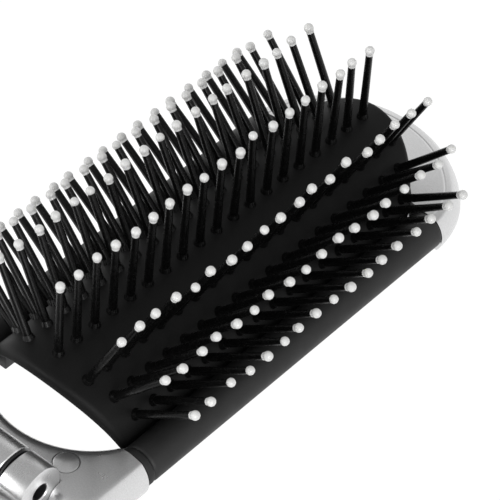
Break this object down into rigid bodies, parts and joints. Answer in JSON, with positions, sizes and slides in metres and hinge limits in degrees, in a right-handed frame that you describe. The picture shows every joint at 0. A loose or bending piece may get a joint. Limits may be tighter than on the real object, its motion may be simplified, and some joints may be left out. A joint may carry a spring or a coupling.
{
  "type": "folding hair brush",
  "caption": "Folding travel hair brush: an arched pad of ball-tipped pins in a silver frame with soft side rails, hinged to a hollow handle that folds over the pins as their case.",
  "frame": {"origin": "centre of the flat back of the head, under the middle pin of the middle row", "axes": "+X across the pin rows, +Y along the rows towards the free end of the head, +Z out of the pad along the middle row of pins"},
  "size_m": [0.0568, 0.2103, 0.0497],
  "materials": {
    "silver_paint": "satin metallic paint on moulded plastic",
    "soft_grip": "soft-touch matte",
    "pad_rubber": "matte",
    "pin_nylon": "semi-gloss",
    "tip_resin": "gloss",
    "dark_plastic": "satin",
    "bush_nylon": "matte",
    "steel": "plain"
  },
  "bodies": {
    "head": {"head_frame": "silver_paint", "hinge_bracket": "silver_paint", "back_cover": "silver_paint", "pin_pad": "pad_rubber", "pad_carrier": "dark_plastic", "side_grip_right": "soft_grip", "side_grip_left": "soft_grip", "bracket_screws": "steel", "screw_plugs": "silver_paint", "cover_screws": "steel", "hinge_pin": "steel", "detent_washers": "dark_plastic", "pin_row_1": "pin_nylon", "pin_row_2": "pin_nylon", "pin_row_3": "pin_nylon", "pin_row_4": "pin_nylon", "pin_row_5": "pin_nylon", "pin_row_6": "pin_nylon", "pin_row_7": "pin_nylon", "ball_tips_1": "tip_resin", "ball_tips_2": "tip_resin", "ball_tips_3": "tip_resin", "ball_tips_4": "tip_resin", "ball_tips_5": "tip_resin", "ball_tips_6": "tip_resin", "ball_tips_7": "tip_resin"},
    "handle": {"knuckle_bush": "bush_nylon", "handle_knuckle": "silver_paint", "handle_shell": "silver_paint", "handle_liner": "dark_plastic", "handle_screws": "steel"}
  },
  "joints": [
    {"name": "handle_fold", "type": "hinge", "parent": "head", "child": "handle", "pos_m": [0, -0.0529, 0.0078], "axis": [-1, 0, 0], "range_deg": [0, 180]}
  ]
}
